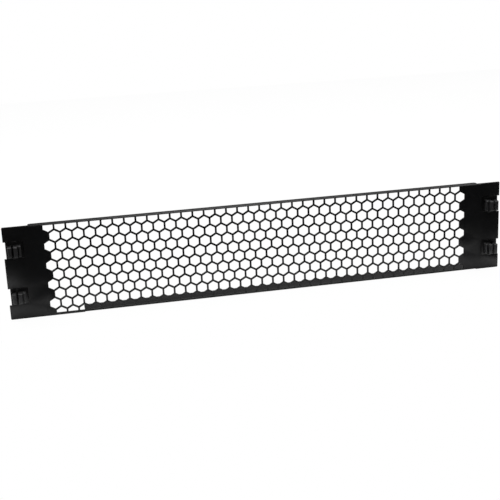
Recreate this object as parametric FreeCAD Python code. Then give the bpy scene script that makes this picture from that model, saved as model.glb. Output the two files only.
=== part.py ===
"""Vented rack blanking panel, two rack units high, with four moulded snap clips.

The panel is one sheet of steel: punched with staggered hexagonal vents, folded back along its
top and bottom edges and notched twice at each end.  A one-piece plastic clip sits in every
notch; its sprung plug enters a square hole of the rack rail and holds the panel without tools.

Frame: +X along the width, +Z up, the front looks along -Y.  The origin is the middle of the
plane on which the clips lie against the rack rails, so the panel is in front of Y = 0 and the
plugs are behind it.  Lengths are in millimetres and angles in degrees.
"""

import FreeCAD, Part
import math
import os

from FreeCAD import Vector

# ---------------------------------------------------------------- rack standard
panel_width = 482.6  # outside width of a nineteen-inch panel
panel_height = 88.1  # outside height of a panel two units high
hole_inset = 8.75  # from the end of the panel to the hole column of the rail
hole_spacing_z = 44.45  # between the middle holes of neighbouring units
rack_hole = 9.5  # side of a square rail hole
rail_grip = 2.6  # rail thickness that the barbs close behind

# ---------------------------------------------------------------- folded sheet
sheet = 1.2  # sheet thickness
bend_radius = 0.6  # inside radius of the folds
corner_cut = 0.7  # taken off the corners of the front face
top_flange_depth = 6.5  # from the front face to the rear edge of the top flange
top_flange_inset = 23.4  # from the end of the panel to each end of the top flange
bottom_flange_depth = 17.5  # from the front face to the rear edge of the bottom flange
bottom_flange_left = 68.0  # from the left end of the panel to the bottom flange
bottom_flange_right = 23.4  # from the bottom flange to the right end of the panel
flange_corner = 1.6  # cut off each rear corner of a flange

# ---------------------------------------------------------------- vents
vent_flats = 8.92  # across the flats of a hexagonal vent, measured along X
vent_web = 1.75  # metal between two neighbouring vents
vent_side_margin = 36.0  # least metal beside the vent field
vent_row_edge = 2.0  # least distance from the middles of the outer rows to the edges
vent_drop = 0.3  # middle of the vent field below the middle of the panel
vent_fold_angle = 34.0  # how far the top row runs round the top fold
vent_bottom_margin = 2.3  # metal left under the cut-off bottom row

# ---------------------------------------------------------------- notches in the ears
notch_inside = 9.0  # from the rail hole column to the inner end
notch_height = 15.8  # opening, centred on the rail hole

# ---------------------------------------------------------------- clips
clip_gap = 0.2  # all round the clip body inside its notch
clip_outside = 6.8  # outer side of the clip from the rail hole column
clip_flange = 1.0  # rear flange, between the ear and the rail
clip_overlap = 1.4  # flange behind the edges of the notch
clip_recess = 0.2  # body behind the front face of the ear
clip_corner = 1.0  # taken off the corners of the rear flange
finger_top = 4.3  # upper end of the fingers above the hole centre
finger_bottom = 5.7  # lower end of the fingers below the hole centre
finger_reach = 7.0  # fingers in front of the ear
finger_width = 3.5  # moving finger and fixed finger, along X
finger_outside = 5.15  # outer side of the moving finger from the rail hole column
finger_space = 1.8  # between the moving finger and the fixed one
stay_space = 1.1  # between the fixed finger and its stay
stay_width = 2.1  # stay, along X
stay_reach = 5.2  # stay in front of the ear
stay_rise = 0.4  # stay above the top of the fingers
stay_bar = 1.5  # bar that joins the stay to the fixed finger
finger_round = 1.3  # front edge at the top and bottom of each finger
finger_edge = 0.5  # taken off the upright front edges of the fingers
slot_gap = 0.4  # between the moving finger, or its leg, and the rest of the clip
finger_travel = 0.9  # room for the moving finger to be squeezed towards the fixed one
plug_clearance = 0.2  # plug inside the rail hole, each side
leg_thickness = 2.0  # legs of the sprung plug
nose_length = 3.6  # tapered nose that leads the plug into the hole
nose_flat = 3.4  # blunt end of the nose, along X
nose_wall = 1.8  # nose between its blunt end and the slit between the legs
plug_length = 11.0  # plug behind the rail plane
barb_height = 1.1  # barb beyond the leg
barb_flat = 0.8  # blunt top of the barb
barb_length = 4.2  # catch to the end of the ramp
barb_inset = 0.8  # barb below the side of the leg
nib_width = 4.0  # snap nibs, along X
nib_hold = 0.5  # nib in front of the edge of the notch
nib_play = 0.05  # nib in front of the sheet
nib_depth = 0.9  # nib thickness

# ---------------------------------------------------------------- derived places
rear_y = -clip_flange  # rear face of the sheet
front_y = rear_y - sheet  # front face of the sheet
outer_radius = bend_radius + sheet
half_width = panel_width / 2.0
half_height = panel_height / 2.0
vent_pitch = vent_flats + vent_web
row_pitch = vent_pitch * math.sqrt(3.0) / 2.0
hole_spacing_x = panel_width - 2.0 * hole_inset
hole_x = hole_spacing_x / 2.0
hole_z = hole_spacing_z / 2.0
vent_field_width = panel_width - 2.0 * vent_side_margin - vent_flats - vent_pitch / 2.0
vent_columns = int(vent_field_width / vent_pitch) + 1
vent_rows = int((panel_height - 2.0 * vent_row_edge) / row_pitch) + 1


def block(x0, x1, y0, y1, z0, z1):
    """Box between two corners."""
    return Part.makeBox(x1 - x0, y1 - y0, z1 - z0, Vector(x0, y0, z0))


def prism(points, direction):
    """Closed polygon swept along a vector."""
    wire = Part.makePolygon(points + [points[0]])
    return Part.Face(wire).extrude(direction)


def edges_where(shape, test):
    """Straight edges of a shape whose two ends pass the test."""
    found = []
    for edge in shape.Edges:
        ends = [vertex.Point for vertex in edge.Vertexes]
        if len(ends) == 2 and test(ends[0], ends[1]):
            found.append(edge)
    return found


def parallel(a, b, axis):
    """True when the line from a to b runs along the given axis."""
    span = b.sub(a)
    parts = {"x": span.x, "y": span.y, "z": span.z}
    along = abs(parts.pop(axis))
    return along > 1e-6 and max(abs(value) for value in parts.values()) < 1e-6


# ================================================================ panel
def flange_section(edge_z, depth, side):
    """Section of a fold and its flange in the YZ plane; side is +1 at the top, -1 below."""
    axis_y = front_y + outer_radius
    axis_z = edge_z - side * outer_radius
    turn = math.sqrt(0.5)

    def on_arc(radius):
        return Vector(0, axis_y - radius * turn, axis_z + side * radius * turn)

    outer_start = Vector(0, front_y, axis_z)
    outer_end = Vector(0, axis_y, edge_z)
    inner_start = Vector(0, rear_y, axis_z)
    inner_end = Vector(0, axis_y, edge_z - side * sheet)
    rear_outer = Vector(0, front_y + depth, edge_z)
    rear_inner = Vector(0, front_y + depth, edge_z - side * sheet)
    edges = [
        Part.Arc(outer_start, on_arc(outer_radius), outer_end).toShape(),
        Part.makeLine(outer_end, rear_outer),
        Part.makeLine(rear_outer, rear_inner),
        Part.makeLine(rear_inner, inner_end),
        Part.Arc(inner_end, on_arc(bend_radius), inner_start).toShape(),
        Part.makeLine(inner_start, outer_start),
    ]
    return Part.Face(Part.Wire(edges))


def flange(x0, x1, edge_z, depth, side):
    """Fold and flange from x0 to x1 with its two rear corners cut off."""
    face = flange_section(edge_z, depth, side)
    face.translate(Vector(x0, 0, 0))
    body = face.extrude(Vector(x1 - x0, 0, 0))
    rear = front_y + depth
    rise = Vector(0, 0, 4 * sheet)
    floor_z = edge_z - 2 * sheet
    for end, inward in ((x0, 1), (x1, -1)):
        corner = [
            Vector(end, rear - flange_corner, floor_z),
            Vector(end - inward * sheet, rear - flange_corner, floor_z),
            Vector(end - inward * sheet, rear + sheet, floor_z),
            Vector(end + inward * flange_corner, rear + sheet, floor_z),
            Vector(end + inward * flange_corner, rear, floor_z),
        ]
        body = body.cut(prism(corner, rise))
    return body


def front_sheet():
    """Flat front of the panel, with the strips beside the folds left at full height."""
    plate = block(-half_width, half_width, front_y, rear_y, -half_height, half_height)
    corners = edges_where(
        plate,
        lambda a, b: parallel(a, b, "y"),
    )
    plate = plate.makeChamfer(corner_cut, corners)
    top_x = half_width - top_flange_inset
    bottom_x0 = -half_width + bottom_flange_left
    bottom_x1 = half_width - bottom_flange_right
    over = outer_radius + sheet
    start_z = half_height - outer_radius
    top_strip = block(-top_x, top_x, front_y - 1, rear_y + 1, start_z, start_z + over)
    bottom_strip = block(
        bottom_x0, bottom_x1, front_y - 1, rear_y + 1, -start_z - over, -start_z
    )
    plate = plate.cut(top_strip)
    plate = plate.cut(bottom_strip)
    top = flange(-top_x, top_x, half_height, top_flange_depth, 1)
    bottom = flange(bottom_x0, bottom_x1, -half_height, bottom_flange_depth, -1)
    return plate.fuse([top, bottom]).removeSplitter()


def notch(side, centre_z):
    """Cutter for one open-ended notch; side is -1 at the left end, +1 at the right."""
    outer = side * (half_width + 1)
    inner = side * (hole_x - notch_inside)
    half = notch_height / 2
    return block(
        min(outer, inner),
        max(outer, inner),
        front_y - 1,
        rear_y + 1,
        centre_z - half,
        centre_z + half,
    )


def trimmed(corners, level, way):
    """Corners of the polygon that is left above a level (way +1) or below it (way -1)."""
    kept = []
    for start, end in zip(corners, corners[1:] + corners[:1]):
        before = way * (start[1] - level)
        after = way * (end[1] - level)
        if before >= 0:
            kept.append(start)
        if before * after < 0:
            share = before / (before - after)
            kept.append((start[0] + share * (end[0] - start[0]), level))
    return kept


def vent_corners(x, z):
    """Corners of a point-up hexagon at x, z."""
    half = vent_flats / 2.0
    shoulder = half / math.sqrt(3.0)
    around = [(0, 2), (half, 1), (half, -1), (0, -2), (-half, -1), (-half, 1)]
    return [(x + across, z + steps * shoulder) for across, steps in around]


def fold_cutter(corners, fold_z):
    """Wedge that carries a vent from the flat front into the top fold."""
    crossing = [x for x, z in trimmed(corners, fold_z, 1)]
    edge = [x for x, z in trimmed(corners, fold_z, -1) if abs(z - fold_z) < 1e-6]
    if len(crossing) < 3 or len(edge) < 2:
        return None
    axis_y = front_y + outer_radius
    reach = outer_radius + 1
    climb = reach * math.tan(math.radians(vent_fold_angle))
    section = [
        Vector(min(edge), axis_y, fold_z),
        Vector(min(edge), axis_y - reach, fold_z),
        Vector(min(edge), axis_y - reach, fold_z + climb),
    ]
    return prism(section, Vector(max(edge) - min(edge), 0, 0))


def vents():
    """Cutters for the vent field, and for the rows that run into the top fold."""
    fold_z = half_height - outer_radius
    low = -half_height + vent_bottom_margin
    through = Vector(0, sheet + 2, 0)
    cutters = []
    for row in range(vent_rows):
        z = ((vent_rows - 1) / 2 - row) * row_pitch - vent_drop
        shift = vent_pitch / 4 if row % 2 else -vent_pitch / 4
        for column in range(vent_columns):
            x = (column - (vent_columns - 1) / 2) * vent_pitch + shift
            corners = vent_corners(x, z)
            open_part = trimmed(trimmed(corners, low, 1), fold_z, -1)
            if len(open_part) > 2:
                outline = [Vector(px, front_y - 1, pz) for px, pz in open_part]
                cutters.append(prism(outline, through))
            wedge = fold_cutter(corners, fold_z)
            if wedge is not None:
                cutters.append(wedge)
    return cutters


def panel():
    """Folded, notched and perforated sheet."""
    body = front_sheet()
    for side in (-1, 1):
        for level in (-1, 1):
            body = body.cut(notch(side, level * hole_z))
    return body.cut(Part.makeCompound(vents())).removeSplitter()


# ================================================================ clip
def clip_body():
    """Body in the notch and rear flange behind the ear, both open for the moving finger.

    The body is open all round the finger.  The flange closes that slot from behind and is
    open only for the leg of the plug that the finger moves.
    """
    outer = -clip_outside
    body_inner = notch_inside - clip_gap
    half = notch_height / 2 - clip_gap
    body = block(outer, body_inner, front_y + clip_recess, rear_y, -half, half)
    flange_half = notch_height / 2 + clip_overlap
    plate = block(outer, notch_inside + clip_overlap, rear_y, 0, -flange_half, flange_half)
    corners = edges_where(plate, lambda a, b: parallel(a, b, "y"))
    plate = plate.makeChamfer(clip_corner, corners)
    slot = block(
        -finger_outside - slot_gap,
        finger_width - finger_outside + finger_travel,
        front_y - 1,
        rear_y,
        -finger_bottom - slot_gap,
        finger_top + slot_gap,
    )
    leg_outside = rack_hole / 2 - plug_clearance
    opening = block(
        -leg_outside - slot_gap,
        leg_thickness - leg_outside + finger_travel,
        rear_y - 1,
        1,
        -leg_outside - slot_gap,
        leg_outside + slot_gap,
    )
    return body.cut(slot).fuse(plate.cut(opening))


def finger(x, width, reach, rear, low, high):
    """Upright rib: a side view with two round front corners, trimmed by a plan view."""
    tip = front_y - reach
    turn = finger_round * (1 - math.sqrt(0.5))

    def side(y, z):
        return Vector(x, y, z)

    edges = [
        Part.makeLine(side(rear, low), side(tip + finger_round, low)),
        Part.Arc(
            side(tip + finger_round, low),
            side(tip + turn, low + turn),
            side(tip, low + finger_round),
        ).toShape(),
        Part.makeLine(side(tip, low + finger_round), side(tip, high - finger_round)),
        Part.Arc(
            side(tip, high - finger_round),
            side(tip + turn, high - turn),
            side(tip + finger_round, high),
        ).toShape(),
        Part.makeLine(side(tip + finger_round, high), side(rear, high)),
        Part.makeLine(side(rear, high), side(rear, low)),
    ]
    ribbon = Part.Face(Part.Wire(edges)).extrude(Vector(width, 0, 0))
    plan = [
        Vector(x, rear, low),
        Vector(x, tip + finger_edge, low),
        Vector(x + finger_edge, tip, low),
        Vector(x + width - finger_edge, tip, low),
        Vector(x + width, tip + finger_edge, low),
        Vector(x + width, rear, low),
    ]
    return ribbon.common(prism(plan, Vector(0, 0, high - low)))


def plug():
    """Sprung plug: two barbed legs joined by a tapered nose, made for a square hole."""
    outside = rack_hole / 2 - plug_clearance
    inside = outside - leg_thickness
    start_y = rear_y - slot_gap
    nose_y = plug_length - nose_length
    slit_y = plug_length - nose_wall
    tall = outside

    def at(offset, y):
        return Vector(offset, y, -tall)

    outline = [
        at(-outside, start_y),
        at(-outside, nose_y),
        at(-nose_flat / 2, plug_length),
        at(nose_flat / 2, plug_length),
        at(outside, nose_y),
        at(outside, start_y),
        at(inside, start_y),
        at(inside, nose_y),
        at(nose_flat / 4, slit_y),
        at(-nose_flat / 4, slit_y),
        at(-inside, nose_y),
        at(-inside, start_y),
    ]
    body = prism(outline, Vector(0, 0, 2 * tall))
    barb_half = tall - barb_inset
    for way in (-1, 1):
        root = way * (outside - leg_thickness / 2)
        skin = way * outside
        crest = skin + way * barb_height
        barb = [
            Vector(root, rail_grip, -barb_half),
            Vector(crest, rail_grip, -barb_half),
            Vector(crest, rail_grip + barb_flat, -barb_half),
            Vector(skin, rail_grip + barb_length, -barb_half),
            Vector(root, rail_grip + barb_length, -barb_half),
        ]
        body = body.fuse(prism(barb, Vector(0, 0, 2 * barb_half)))
    return body


def nib(way):
    """Snap nib on the upper (+1) or lower (-1) side of the clip body."""
    x = (notch_inside - clip_outside - nib_width) / 2
    edge = way * (notch_height / 2 - clip_gap)
    crest = way * (notch_height / 2 + nib_hold)
    toe = edge - way * (nib_hold + clip_gap)
    root = rear_y - sheet / 2
    back = front_y - nib_play
    face = back - nib_depth
    section = [
        Vector(x, root, edge),
        Vector(x, back, edge),
        Vector(x, back, crest),
        Vector(x, face, edge),
        Vector(x, face, toe),
        Vector(x, root, toe),
    ]
    return prism(section, Vector(nib_width, 0, 0))


def clip():
    """One-piece clip of a left notch, measured from the middle of its rail hole."""
    fixed_x = finger_width - finger_outside + finger_space
    stay_x = fixed_x + finger_width + stay_space
    root_y = rear_y - sheet / 2
    stay_top = finger_top + stay_rise
    float_y = rear_y - slot_gap
    low = -finger_bottom
    moving = finger(-finger_outside, finger_width, finger_reach, float_y, low, finger_top)
    fixed = finger(fixed_x, finger_width, finger_reach, root_y, low, finger_top)
    stay = finger(stay_x, stay_width, stay_reach, root_y, low, stay_top)
    bar = block(
        fixed_x + finger_width / 2,
        stay_x + stay_width / 2,
        front_y - stay_reach + finger_round,
        root_y,
        finger_top - stay_bar,
        finger_top,
    )
    pieces = [moving, fixed, stay, bar, plug(), nib(1), nib(-1)]
    return clip_body().fuse(pieces).removeSplitter()


def seated(shape, side, level):
    """Clip moved to the rail hole on one side and at one level."""
    placed = shape.copy()
    if side > 0:
        placed = shape.mirror(Vector(0, 0, 0), Vector(1, 0, 0))
    placed.translate(Vector(side * hole_x, 0, level * hole_z))
    return placed


# ================================================================ output
def main():
    """Build every piece and write one STEP file for each."""
    nodes = {"panel": panel()}
    moulding = clip()
    for side, side_name in ((-1, "left"), (1, "right")):
        for level, level_name in ((1, "upper"), (-1, "lower")):
            name = "clip_" + level_name + "_" + side_name
            nodes[name] = seated(moulding, side, level)
    os.makedirs("parts", exist_ok=True)
    for name, shape in nodes.items():
        if len(shape.Solids) != 1 or not shape.isValid():
            raise RuntimeError(name + " is not one valid solid")
        shape.Solids[0].exportStep("parts/" + name + ".step")
        print(name, round(shape.Volume, 2), "mm3")


main()
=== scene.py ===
"""Studio scene of a vented rack blanking panel: one folded, perforated steel sheet, powder coated
black, with four moulded nylon snap clips in its notched ends.

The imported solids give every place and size.  This script rounds their edges as coating and
moulding round the real ones, folds the bottom flange slightly past square, gives each finish
its colour, gloss and fine relief, and sets up the floor, the soft light and the camera.
Lengths are in metres unless a name says mm.
"""

import logging
import math
from dataclasses import dataclass, field
from enum import Enum
from typing import Any, Callable, Iterable

import bmesh
import bpy
import numpy as np
from mathutils import Matrix, Vector


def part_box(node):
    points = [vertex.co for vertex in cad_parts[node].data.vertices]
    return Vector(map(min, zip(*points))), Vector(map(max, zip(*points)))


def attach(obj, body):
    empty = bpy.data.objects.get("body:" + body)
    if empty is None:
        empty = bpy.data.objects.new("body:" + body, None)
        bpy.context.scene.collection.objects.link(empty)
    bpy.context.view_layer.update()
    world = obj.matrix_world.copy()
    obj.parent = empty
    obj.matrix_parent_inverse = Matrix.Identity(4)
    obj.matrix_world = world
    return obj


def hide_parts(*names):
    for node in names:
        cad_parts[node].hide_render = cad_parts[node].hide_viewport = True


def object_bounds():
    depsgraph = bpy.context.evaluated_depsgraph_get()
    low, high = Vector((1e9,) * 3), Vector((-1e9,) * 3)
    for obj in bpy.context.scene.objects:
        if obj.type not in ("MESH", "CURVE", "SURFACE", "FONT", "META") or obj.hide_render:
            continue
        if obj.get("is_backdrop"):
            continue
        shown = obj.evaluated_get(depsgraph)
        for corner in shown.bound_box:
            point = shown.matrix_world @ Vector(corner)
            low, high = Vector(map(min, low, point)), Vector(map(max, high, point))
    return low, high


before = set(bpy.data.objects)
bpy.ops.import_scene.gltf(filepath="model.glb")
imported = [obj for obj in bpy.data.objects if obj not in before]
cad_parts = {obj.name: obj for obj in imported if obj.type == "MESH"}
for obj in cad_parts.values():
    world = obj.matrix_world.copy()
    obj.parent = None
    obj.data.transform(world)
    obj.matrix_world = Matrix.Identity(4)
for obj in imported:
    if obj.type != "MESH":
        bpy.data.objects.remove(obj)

LOG = logging.getLogger("blanking_panel")
MM = 0.001
ROOT_BODY = "root"
PANEL_NODE = "panel"
MERGE_MM = 0.09  # points of a surface that are closer than this become one
SLIVER_MM = 0.0001  # faces thinner than this are dissolved
SNAP = 2e-5  # how exactly a point is looked for

MIX_SHARE, MIX_FIRST, MIX_SECOND = 0, 6, 7  # sockets of a colour mix
MIX_RESULT = 2

Colour = tuple[float, float, float, float]
WHITE: Colour = (1.0, 1.0, 1.0, 1.0)


class Slot(Enum):
    """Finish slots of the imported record."""

    PANEL = "panel"
    CLIP = "clip"


class Corner(Enum):
    """The four notches of the panel, by the node of the clip that sits in each."""

    UPPER_LEFT = "clip_upper_left"
    LOWER_LEFT = "clip_lower_left"
    UPPER_RIGHT = "clip_upper_right"
    LOWER_RIGHT = "clip_lower_right"


# ------------------------------------------------------------------ small helpers
def linear(hex_colour: str) -> Colour:
    """Turn an sRGB hex colour into the linear colour that a shader takes.

    The formula is the sRGB standard's own: a straight line near black, a power curve above.

    Args:
        hex_colour: six hex digits, with or without a leading hash.

    Returns:
        Linear red, green and blue, and an alpha of 1.
    """
    digits = hex_colour.lstrip("#")
    channels = np.array([int(digits[i : i + 2], 16) for i in (0, 2, 4)]) / 255.0
    low = channels / 12.92
    high = ((channels + 0.055) / 1.055) ** 2.4
    red, green, blue = np.where(channels <= 0.04045, low, high)
    return float(red), float(green), float(blue), 1.0


def per_metre(size_mm: float) -> float:
    """Scale of a pattern in Object coordinates whose features are size_mm across."""
    return 1.0 / (size_mm * MM)


def add_node(
    tree: bpy.types.NodeTree,
    kind: str,
    settings: dict[str, Any] | None = None,
    inputs: dict[str | int, Any] | None = None,
) -> bpy.types.Node:
    """Add one shader node, set its properties, and fill or link its sockets.

    Args:
        tree: node tree that gets the node.
        kind: Blender's name of the node type.
        settings: properties of the node itself.
        inputs: by socket name or index, a plain value or the output socket to link from.

    Returns:
        The new node.
    """
    node = tree.nodes.new(kind)
    for name, value in (settings or {}).items():
        setattr(node, name, value)
    for name, value in (inputs or {}).items():
        if isinstance(value, bpy.types.NodeSocket):
            tree.links.new(value, node.inputs[name])
        else:
            node.inputs[name].default_value = value
    return node


def empty_material(name: str) -> bpy.types.Material:
    """Make a material with an empty node tree.

    Args:
        name: name of the material.

    Returns:
        The new material.
    """
    material = bpy.data.materials.new(name)
    material.use_nodes = True
    material.node_tree.nodes.clear()
    return material


def link_to_scene(piece: bpy.types.Object) -> bpy.types.Object:
    """Put an object into the scene's own collection.

    Args:
        piece: object that no collection holds yet.

    Returns:
        The same object.
    """
    bpy.context.scene.collection.objects.link(piece)
    return piece


# ------------------------------------------------------------------ finishes
@dataclass(frozen=True)
class PowderCoat:
    """Black polyester powder coat, baked on steel.

    To the eye it is a deep neutral black with a soft, broad sheen: pale surroundings veil it
    with grey, and its flowed skin has the faint pebbling that is known as orange peel.

    Attributes:
        deep: colour of the coat in most places.
        worn: slightly paler colour in slow clouds across the sheet, which are usual on such a
            coat and very faint.
        cloud_mm: size of those clouds.
        cloud_detail: how many finer layers they have.
        peel_mm: width of the pebbles of the orange peel.
        peel_height_mm: height of the pebbles.
        peel_detail: how many finer layers they have.
        peel_range: noise levels of the glossiest and the dullest spots.
        grain_mm: width of the fine grain on top of them.
        grain_height_mm: height of that grain.
        grain_detail: how many finer layers it has.
        roughness_low: roughness on the glossiest spots.
        roughness_high: roughness on the dullest spots.
        specular: specular level, a little above the usual one because the resin is dense.
    """

    deep: str = "#0c0c0e"
    worn: str = "#101012"
    cloud_mm: float = 38.0
    cloud_detail: float = 3.0
    peel_mm: float = 1.3
    peel_height_mm: float = 0.018
    peel_detail: float = 1.5
    peel_range: tuple[float, float] = (0.35, 0.65)
    grain_mm: float = 0.35
    grain_height_mm: float = 0.006
    grain_detail: float = 2.0
    roughness_low: float = 0.29
    roughness_high: float = 0.39
    specular: float = 0.6

    def material(self) -> bpy.types.Material:
        """Build the coat.

        Returns:
            The material, with its colour, roughness and relief from noise in Object
            coordinates.
        """
        made = empty_material("powder_coat_black_satin")
        tree = made.node_tree
        place = add_node(tree, "ShaderNodeTexCoord").outputs["Object"]
        clouds = add_node(
            tree,
            "ShaderNodeTexNoise",
            inputs={
                "Vector": place,
                "Scale": per_metre(self.cloud_mm),
                "Detail": self.cloud_detail,
            },
        )
        peel = add_node(
            tree,
            "ShaderNodeTexNoise",
            inputs={
                "Vector": place,
                "Scale": per_metre(self.peel_mm),
                "Detail": self.peel_detail,
            },
        )
        grain = add_node(
            tree,
            "ShaderNodeTexNoise",
            inputs={
                "Vector": place,
                "Scale": per_metre(self.grain_mm),
                "Detail": self.grain_detail,
            },
        )
        tint = add_node(
            tree,
            "ShaderNodeMix",
            {"data_type": "RGBA"},
            {
                MIX_SHARE: clouds.outputs[0],
                MIX_FIRST: linear(self.deep),
                MIX_SECOND: linear(self.worn),
            },
        )
        gloss = add_node(
            tree,
            "ShaderNodeMapRange",
            inputs={
                "Value": peel.outputs[0],
                "From Min": self.peel_range[0],
                "From Max": self.peel_range[1],
                "To Min": self.roughness_low,
                "To Max": self.roughness_high,
            },
        )
        pebbled = add_node(
            tree,
            "ShaderNodeBump",
            inputs={
                "Height": peel.outputs[0],
                "Strength": 1.0,
                "Distance": self.peel_height_mm * MM,
            },
        )
        relief = add_node(
            tree,
            "ShaderNodeBump",
            inputs={
                "Height": grain.outputs[0],
                "Strength": 1.0,
                "Distance": self.grain_height_mm * MM,
                "Normal": pebbled.outputs[0],
            },
        )
        shader = add_node(
            tree,
            "ShaderNodeBsdfPrincipled",
            inputs={
                "Base Color": tint.outputs[MIX_RESULT],
                "Roughness": gloss.outputs[0],
                "Specular IOR Level": self.specular,
                "Normal": relief.outputs[0],
            },
        )
        add_node(tree, "ShaderNodeOutputMaterial", inputs={"Surface": shader.outputs[0]})
        return made


@dataclass(frozen=True)
class MouldedNylon:
    """Black nylon, injection moulded in a finely spark-eroded tool.

    To the eye its body is blacker than the coat beside it, while the grip fingers that stand
    out in front look paler, with crisp small lights on their rounded edges. The body's
    near-black is partly painted shade round the fingers, and the paler grey of the fingers is
    painted light, a colour that stands in for the light they catch.

    Attributes:
        body: colour of the resin in the body, the flange and the plug, darkened as painted shade
            of the plate round the fingers.
        flow: colour of the faint streaks where the melt ran.
        grip: paler colour of the fingers, painted light that stands in for the light they catch.
        grip_start_mm: how far in front of the rail plane the painted light of the fingers starts.
        grip_full_mm: how far in front of the rail plane it is complete.
        flow_mm: width of those streaks.
        flow_stretch: how many times as long they are, along Z.
        flow_detail: how many finer layers they have.
        flow_range: noise levels of the glossiest and the dullest streaks.
        spark_mm: width of the pits that the tool leaves.
        spark_height_mm: depth of those pits.
        spark_detail: how many finer layers they have.
        roughness_low: roughness where the skin is glossiest.
        roughness_high: roughness where it is dullest.
        ior: refractive index of nylon.
    """

    body: str = "#050506"
    flow: str = "#09090a"
    grip: str = "#404041"
    grip_start_mm: float = 2.6
    grip_full_mm: float = 4.2
    flow_mm: float = 4.0
    flow_stretch: float = 4.0
    flow_detail: float = 2.0
    flow_range: tuple[float, float] = (0.3, 0.7)
    spark_mm: float = 0.22
    spark_height_mm: float = 0.004
    spark_detail: float = 2.0
    roughness_low: float = 0.26
    roughness_high: float = 0.36
    ior: float = 1.56

    def material(self) -> bpy.types.Material:
        """Build the moulded skin.

        Returns:
            The material, with streaks, gloss changes and pits in Object coordinates.
        """
        made = empty_material("nylon_black_spark_eroded")
        tree = made.node_tree
        place = add_node(tree, "ShaderNodeTexCoord").outputs["Object"]
        stretched = add_node(
            tree,
            "ShaderNodeMapping",
            inputs={"Vector": place, "Scale": (1.0, 1.0, 1.0 / self.flow_stretch)},
        )
        streaks = add_node(
            tree,
            "ShaderNodeTexNoise",
            inputs={
                "Vector": stretched.outputs[0],
                "Scale": per_metre(self.flow_mm),
                "Detail": self.flow_detail,
            },
        )
        pits = add_node(
            tree,
            "ShaderNodeTexNoise",
            inputs={
                "Vector": place,
                "Scale": per_metre(self.spark_mm),
                "Detail": self.spark_detail,
            },
        )
        # the body's near-black is partly painted shade of the plate between and round the fingers
        tint = add_node(
            tree,
            "ShaderNodeMix",
            {"data_type": "RGBA"},
            {
                MIX_SHARE: streaks.outputs[0],
                MIX_FIRST: linear(self.body),
                MIX_SECOND: linear(self.flow),
            },
        )
        depth = add_node(tree, "ShaderNodeSeparateXYZ", inputs={0: place})
        # painted light: in front of the rail plane the fingers turn paler grey, standing in for
        # the light they catch
        painted_light_share = add_node(
            tree,
            "ShaderNodeMapRange",
            {"interpolation_type": "SMOOTHSTEP"},
            {
                "Value": depth.outputs["Y"],
                "From Min": -self.grip_start_mm * MM,
                "From Max": -self.grip_full_mm * MM,
            },
        )
        skin = add_node(
            tree,
            "ShaderNodeMix",
            {"data_type": "RGBA"},
            {
                MIX_SHARE: painted_light_share.outputs[0],
                MIX_FIRST: tint.outputs[MIX_RESULT],
                MIX_SECOND: linear(self.grip),
            },
        )
        gloss = add_node(
            tree,
            "ShaderNodeMapRange",
            inputs={
                "Value": streaks.outputs[0],
                "From Min": self.flow_range[0],
                "From Max": self.flow_range[1],
                "To Min": self.roughness_low,
                "To Max": self.roughness_high,
            },
        )
        relief = add_node(
            tree,
            "ShaderNodeBump",
            inputs={
                "Height": pits.outputs[0],
                "Strength": 1.0,
                "Distance": self.spark_height_mm * MM,
            },
        )
        shader = add_node(
            tree,
            "ShaderNodeBsdfPrincipled",
            inputs={
                "Base Color": skin.outputs[MIX_RESULT],
                "Roughness": gloss.outputs[0],
                "IOR": self.ior,
                "Normal": relief.outputs[0],
            },
        )
        add_node(tree, "ShaderNodeOutputMaterial", inputs={"Surface": shader.outputs[0]})
        return made


@dataclass(frozen=True)
class PaleSweep:
    """White painted studio floor.

    It is plain white where the camera sees it, and keeps a soft share of the shadow that falls
    on it; the object gets only the light that the floor really reflects.

    Attributes:
        paint: colour of the floor.
        white_share: how much of what the camera sees is even white.
        white_level: brightness of that white, which makes up for the paint's share.
    """

    paint: str = "#f0f0f0"
    white_share: float = 0.94
    white_level: float = 1.02

    def material(self) -> bpy.types.Material:
        """Build the floor.

        Returns:
            The material: matt white paint, brightened to white for the camera alone.
        """
        made = empty_material("studio_floor_white")
        tree = made.node_tree
        rays = add_node(tree, "ShaderNodeLightPath")
        paint = add_node(
            tree,
            "ShaderNodeBsdfDiffuse",
            inputs={"Color": linear(self.paint)},
        )
        white = add_node(
            tree,
            "ShaderNodeEmission",
            inputs={"Color": WHITE, "Strength": self.white_level},
        )
        share = add_node(
            tree,
            "ShaderNodeMath",
            {"operation": "MULTIPLY"},
            {0: rays.outputs["Is Camera Ray"], 1: self.white_share},
        )
        seen = add_node(
            tree,
            "ShaderNodeMixShader",
            inputs={0: share.outputs[0], 1: paint.outputs[0], 2: white.outputs[0]},
        )
        add_node(tree, "ShaderNodeOutputMaterial", inputs={"Surface": seen.outputs[0]})
        return made


# ------------------------------------------------------------------ pieces of the object
def sharp_edges(shape: bmesh.types.BMesh, sharp_degrees: float) -> np.ndarray:
    """Mark the edges whose two faces meet at more than an angle.

    Args:
        shape: closed surface.
        sharp_degrees: least angle between the faces of a marked edge.

    Returns:
        One flag for each edge of the shape.
    """
    angles = np.array([edge.calc_face_angle(0.0) for edge in shape.edges])
    return angles > math.radians(sharp_degrees)


def edge_middles(shape: bmesh.types.BMesh) -> np.ndarray:
    """Find the middle of each edge of a shape: the mean of its two ends.

    Args:
        shape: surface whose edges are looked at.

    Returns:
        One row of x, y and z for each edge.
    """
    ends = np.array([[vert.co[:] for vert in edge.verts] for edge in shape.edges])
    return ends.mean(axis=1)


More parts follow.
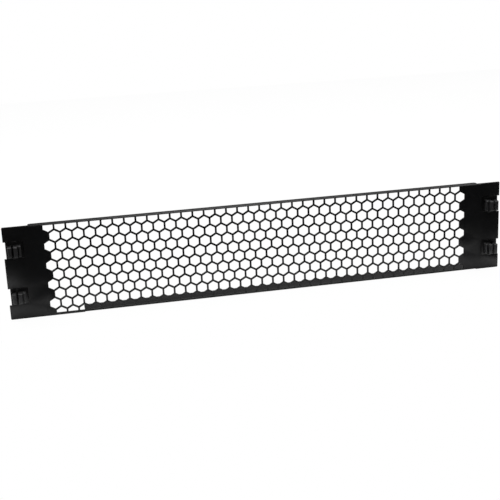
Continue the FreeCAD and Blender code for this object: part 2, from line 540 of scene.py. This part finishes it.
def rounded_copy(
    node: str,
    name: str,
    radius_mm: float,
    segments: int,
    sharp_degrees: float,
    spared: Callable[[np.ndarray], np.ndarray] | None = None,
    reshape: Callable[[np.ndarray], np.ndarray] | None = None,
) -> bpy.types.Object:
    """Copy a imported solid's surface and round its sharp edges.

    The copy's coincident points are merged, and a bevel of the given radius replaces each edge
    whose two faces meet at more than the given angle.

    Args:
        node: node whose surface is copied.
        name: name of the new piece.
        radius_mm: radius of the rounding.
        segments: strips across each rounding.
        sharp_degrees: least angle between two faces whose edge is rounded.
        spared: from the middles of the edges, tells which ones stay as they are.
        reshape: from the points of the surface, gives their new places.

    Returns:
        The new piece, at the origin, with a live bevel.
    """
    shape = bmesh.new()
    shape.from_mesh(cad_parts[node].data)
    bmesh.ops.remove_doubles(shape, verts=shape.verts[:], dist=MERGE_MM * MM)
    bmesh.ops.dissolve_degenerate(shape, edges=shape.edges[:], dist=SLIVER_MM * MM)
    for face in shape.faces:
        face.smooth = True
    rounded = sharp_edges(shape, sharp_degrees)
    if spared is not None:
        rounded &= ~spared(edge_middles(shape))
    mesh = bpy.data.meshes.new(name)
    shape.to_mesh(mesh)
    shape.free()
    if reshape is not None:
        points = np.empty(len(mesh.vertices) * 3)
        mesh.vertices.foreach_get("co", points)
        points = reshape(points.reshape(-1, 3))
        mesh.vertices.foreach_set("co", points.ravel())
    weights = mesh.attributes.new("bevel_weight_edge", "FLOAT", "EDGE")
    weights.data.foreach_set("value", rounded.astype(np.float32))
    piece = link_to_scene(bpy.data.objects.new(name, mesh))
    bevel = piece.modifiers.new("rounded_edges", "BEVEL")
    bevel.width = radius_mm * MM
    bevel.segments = segments
    bevel.limit_method = "WEIGHT"
    bevel.use_clamp_overlap = False
    bevel.loop_slide = False
    bevel.harden_normals = True
    return piece


@dataclass
class CoatedPanel:
    """The folded, perforated sheet.

    Attributes:
        edge_radius_mm: rounding that the coat leaves on every cut edge.
        edge_segments: strips across that rounding.
        sharp_degrees: least angle of an edge that is rounded.
        fold_ends_mm: where along X a fold runs out beside an ear.
        fold_reach_mm: height of the folds at the panel's two long edges.
        fold_top_mm: height of the bottom flange's upper face over the panel's lower edge.
        fold_axis_mm: where the bottom flange leaves its fold, along Y.
        flange_ends_mm: ends of the bottom flange, along X.
        flange_rise_mm: how far its rear edge is raised at those two ends.
        pieces: what has been built.
    """

    edge_radius_mm: float = 0.18
    edge_segments: int = 2
    sharp_degrees: float = 50.0
    fold_ends_mm: tuple[float, ...] = (-217.9, -173.3, 217.9)
    fold_reach_mm: float = 2.0
    fold_top_mm: float = 1.2
    fold_axis_mm: float = -0.4
    flange_ends_mm: tuple[float, float] = (-173.3, 217.9)
    flange_rise_mm: tuple[float, float] = (0.6, 0.1)
    pieces: list[bpy.types.Object] = field(default_factory=list)

    def beside_fold_ends(self, middles: np.ndarray) -> np.ndarray:
        """Find the edges in the narrow steps where a fold runs out beside an ear.

        Args:
            middles: middles of the edges, in metres.

        Returns:
            One flag for each edge, true in those steps, whose corners stay as cut.
        """
        low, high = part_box(PANEL_NODE)
        reach = self.fold_reach_mm * MM
        at_edge = (middles[:, 2] < low[2] + reach) | (middles[:, 2] > high[2] - reach)
        ends = np.array(self.fold_ends_mm) * MM
        at_end = (np.abs(middles[:, :1] - ends) < MERGE_MM * MM).any(axis=1)
        return at_edge & at_end

    def folded(self, points: np.ndarray) -> np.ndarray:
        """Raise the rear edge of the bottom flange, as if it were folded a little past square.

        This edge stands higher than the solid has it. Whether the real flange is folded further
        or is deeper isn't known, and a deeper one would leave the part's box.
        Each point of the flange rises in proportion to its distance behind the fold, by an
        amount that runs evenly from one end of the flange to the other.

        Args:
            points: points of the sheet's surface, in metres.

        Returns:
            The same points, with those of the bottom flange raised.
        """
        low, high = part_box(PANEL_NODE)
        axis = self.fold_axis_mm * MM
        share = np.clip((points[:, 1] - axis) / (high[1] - axis), 0.0, 1.0)
        in_flange = points[:, 2] < low[2] + self.fold_top_mm * MM + SNAP
        ends = np.array(self.flange_ends_mm) * MM
        rise = np.interp(points[:, 0], ends, np.array(self.flange_rise_mm) * MM)
        moved = points.copy()
        moved[:, 2] += in_flange * share * rise
        return moved

    def build(self) -> None:
        """Make the coated sheet in place of the bare solid."""
        sheet = rounded_copy(
            PANEL_NODE,
            "coated_sheet",
            self.edge_radius_mm,
            self.edge_segments,
            self.sharp_degrees,
            self.beside_fold_ends,
            self.folded,
        )
        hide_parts(PANEL_NODE)
        self.pieces.append(sheet)

    def dress(self, coat: bpy.types.Material) -> None:
        """Give the sheet its coat.

        Args:
            coat: the powder coat.
        """
        for piece in self.pieces:
            piece.data.materials.clear()
            piece.data.materials.append(coat)
            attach(piece, ROOT_BODY)


@dataclass
class SnapClip:
    """One moulded clip: body, rear flange, grip fingers and sprung plug.

    Attributes:
        corner: notch that the clip sits in.
        edge_radius_mm: rounding of the moulded edges.
        edge_segments: strips across that rounding.
        sharp_degrees: least angle of an edge that is rounded.
        nib_foot_mm: how far in front of the rail plane the snap nibs start.
        nib_inner_mm: distance of the nibs from the middle of the clip, along Z.
        nib_share: thickness that is left of the nibs.
        flange_mm: thickness of the rear flange.
        opening_mm: upright edges of the opening round the sprung leg, from the clip's outer
            side, where they are and where they go, so that no light shows beside the leg.
        pieces: what has been built.
    """

    corner: Corner
    edge_radius_mm: float = 0.22
    edge_segments: int = 3
    sharp_degrees: float = 35.0
    nib_foot_mm: float = 2.3
    nib_inner_mm: float = 6.5
    nib_share: float = 0.3
    flange_mm: float = 1.0
    opening_mm: tuple[tuple[float, float], ...] = ((1.85, 2.05), (5.15, 4.5))
    pieces: list[bpy.types.Object] = field(default_factory=list)

    def refined(self, points: np.ndarray) -> np.ndarray:
        """Thin the two snap nibs and close the opening of the flange round the sprung leg.

        Args:
            points: points of the clip's surface, in metres.

        Returns:
            The same points, with those of the nibs drawn back towards the sheet and the
            upright edges of the opening moved towards the leg.
        """
        low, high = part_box(self.corner.value)
        middle = (low[2] + high[2]) / 2.0
        beyond = np.abs(points[:, 2] - middle) > self.nib_inner_mm * MM
        foot = -self.nib_foot_mm * MM
        nib = beyond & (points[:, 1] < foot)
        moved = points.copy()
        moved[nib, 1] = foot + self.nib_share * (points[nib, 1] - foot)
        outer = low[0] if low[0] < 0.0 else high[0]
        inward = np.sign(-outer)
        from_side = (points[:, 0] - outer) * inward / MM
        in_flange = (points[:, 1] > -self.flange_mm * MM - SNAP) & (points[:, 1] < SNAP)
        for edge, new in self.opening_mm:
            side = in_flange & (np.abs(from_side - edge) * MM < SNAP)
            moved[side, 0] = outer + inward * new * MM
        return moved

    def build(self) -> None:
        """Make the moulded clip in place of the bare solid."""
        node = self.corner.value
        moulding = rounded_copy(
            node,
            "moulded_" + node,
            self.edge_radius_mm,
            self.edge_segments,
            self.sharp_degrees,
            reshape=self.refined,
        )
        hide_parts(node)
        self.pieces.append(moulding)

    def dress(self, skin: bpy.types.Material) -> None:
        """Give the clip its moulded skin.

        Args:
            skin: the nylon.
        """
        for piece in self.pieces:
            piece.data.materials.clear()
            piece.data.materials.append(skin)
            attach(piece, ROOT_BODY)


# ------------------------------------------------------------------ studio
@dataclass(frozen=True)
class SoftLight:
    """One rectangular soft box.

    Attributes:
        name: name of the lamp.
        place: where its middle is.
        aim: point that it faces.
        size: its two sides.
        radiance: brightness of its face, where 1 is a white card in full light.
    """

    name: str
    place: tuple[float, float, float]
    aim: tuple[float, float, float]
    size: tuple[float, float]
    radiance: float

    def build(self) -> None:
        """Hang the lamp; its power is pi times its area times its radiance."""
        lamp = bpy.data.lights.new(self.name, "AREA")
        lamp.shape = "RECTANGLE"
        lamp.size, lamp.size_y = self.size
        lamp.energy = math.pi * self.size[0] * self.size[1] * self.radiance
        hung = link_to_scene(bpy.data.objects.new(self.name, lamp))
        hung.location = self.place
        way = Vector(self.aim) - Vector(self.place)
        hung.rotation_mode = "QUATERNION"
        hung.rotation_quaternion = way.to_track_quat("-Z", "Y")


@dataclass(frozen=True)
class ViewPoint:
    """Camera that looks slightly down and from the left at the front of the panel.

    Attributes:
        place: where the lens is.
        azimuth: turn of the view from straight ahead, in degrees.
        elevation: how far it looks down, in degrees.
        roll: how far its right side is lowered, in degrees.
        lens_mm: focal length.
        sensor_mm: width of the sensor.
        sight: nearest and farthest distance that the camera sees.
    """

    place: tuple[float, float, float] = (-0.20295, -0.93723, 0.27898)
    azimuth: float = 11.458
    elevation: float = 16.307
    roll: float = 2.54
    lens_mm: float = 74.996
    sensor_mm: float = 36.0
    sight: tuple[float, float] = (0.05, 50.0)

    def build(self) -> None:
        """Set up the camera: level right and up vectors, turned about the line of sight."""
        turn, dip = math.radians(self.azimuth), math.radians(self.elevation)
        ahead = Vector(
            (math.sin(turn) * math.cos(dip), math.cos(turn) * math.cos(dip), -math.sin(dip))
        )
        level_right = Vector((math.cos(turn), -math.sin(turn), 0.0))
        level_up = level_right.cross(ahead)
        lean = math.radians(-self.roll)
        right = math.cos(lean) * level_right + math.sin(lean) * level_up
        up = right.cross(ahead)
        body = bpy.data.cameras.new("camera")
        body.sensor_width = self.sensor_mm
        body.lens = self.lens_mm
        body.clip_start, body.clip_end = self.sight
        stand = link_to_scene(bpy.data.objects.new("camera", body))
        axes = Matrix((right, up, -ahead)).transposed().to_4x4()
        stand.matrix_world = Matrix.Translation(self.place) @ axes
        bpy.context.scene.camera = stand


@dataclass(frozen=True)
class Studio:
    """Floor, room and lamps.

    Attributes:
        floor_reach: from the middle of the part to the sides and the back of the table top.
        floor_front: from the part to the front edge of the table top, so that only the foot
            of the panel mirrors it.
        room_dim: brightness of the room on the camera's side.
        room_bright: brightness of the room behind the part.
        room_ramp: where the room starts and stops brightening, along Y of the direction.
        lamps: the soft boxes.
    """

    floor_reach: float = 1.5
    floor_front: float = 0.055
    room_dim: float = 0.045
    room_bright: float = 0.13
    room_ramp: tuple[float, float] = (-0.4, 0.9)
    lamps: tuple[SoftLight, ...] = (
        SoftLight("overhead_box", (0.0, 0.3, 1.0), (0.0, 0.3, 0.0), (3.0, 2.0), 1.5),
    )

    def floor(self, level: float, finish: bpy.types.Material) -> None:
        """Lay the floor.

        Args:
            level: height of its surface.
            finish: its paint.
        """
        reach = self.floor_reach
        across = np.array([-reach, reach, reach, -reach])
        along = np.array([-self.floor_front, -self.floor_front, reach, reach])
        corners = np.stack([across, along, np.full_like(across, level)], axis=1)
        mesh = bpy.data.meshes.new("studio_floor")
        mesh.from_pydata(corners.tolist(), [], [(0, 1, 2, 3)])
        mesh.materials.append(finish)
        link_to_scene(bpy.data.objects.new("studio_floor", mesh))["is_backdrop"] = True

    def room(self) -> None:
        """Light the room: white to the camera, and a slow ramp from front to back to the rest."""
        world = bpy.data.worlds.new("studio_room")
        world.use_nodes = True
        tree = world.node_tree
        tree.nodes.clear()
        place = add_node(tree, "ShaderNodeTexCoord").outputs["Generated"]
        parts = add_node(tree, "ShaderNodeSeparateXYZ", inputs={0: place})
        ramp = add_node(
            tree,
            "ShaderNodeMapRange",
            {"interpolation_type": "SMOOTHSTEP"},
            {
                "Value": parts.outputs["Y"],
                "From Min": self.room_ramp[0],
                "From Max": self.room_ramp[1],
                "To Min": self.room_dim,
                "To Max": self.room_bright,
            },
        )
        rays = add_node(tree, "ShaderNodeLightPath")
        plain = add_node(
            tree,
            "ShaderNodeMath",
            {"operation": "MAXIMUM"},
            {0: rays.outputs["Is Camera Ray"], 1: rays.outputs["Is Transmission Ray"]},
        )
        room = add_node(
            tree,
            "ShaderNodeBackground",
            inputs={"Color": WHITE, "Strength": ramp.outputs[0]},
        )
        white = add_node(
            tree,
            "ShaderNodeBackground",
            inputs={"Color": WHITE, "Strength": 1.0},
        )
        seen = add_node(
            tree,
            "ShaderNodeMixShader",
            inputs={0: plain.outputs[0], 1: room.outputs[0], 2: white.outputs[0]},
        )
        add_node(tree, "ShaderNodeOutputWorld", inputs={"Surface": seen.outputs[0]})
        bpy.context.scene.world = world

    def build(self, level: float) -> None:
        """Set up the whole studio.

        Args:
            level: height of the surface that the part stands on.
        """
        self.floor(level, PaleSweep().material())
        self.room()
        for lamp in self.lamps:
            lamp.build()


# ------------------------------------------------------------------ the whole scene
def corners_of(box: Iterable[Vector]) -> list[list[float]]:
    """Give the corners of a box as plain lists."""
    return [[float(value) for value in corner] for corner in box]


def main() -> None:
    """Build the pieces in order, dress them, and set up the studio."""
    logging.basicConfig(level=logging.INFO, format="%(name)s: %(message)s")
    bpy.context.scene.view_settings.view_transform = "Standard"
    packed = corners_of(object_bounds())
    ViewPoint().build()
    coat = PowderCoat().material()
    nylon = MouldedNylon().material()
    panel = CoatedPanel()
    panel.build()
    panel.dress(coat)
    LOG.info("panel: %s", [piece.name for piece in panel.pieces])
    for corner in Corner:
        clip = SnapClip(corner)
        clip.build()
        clip.dress(nylon)
        LOG.info("clip: %s", [piece.name for piece in clip.pieces])
    Studio().build(packed[0][2])


if __name__ == "__main__":
    main()
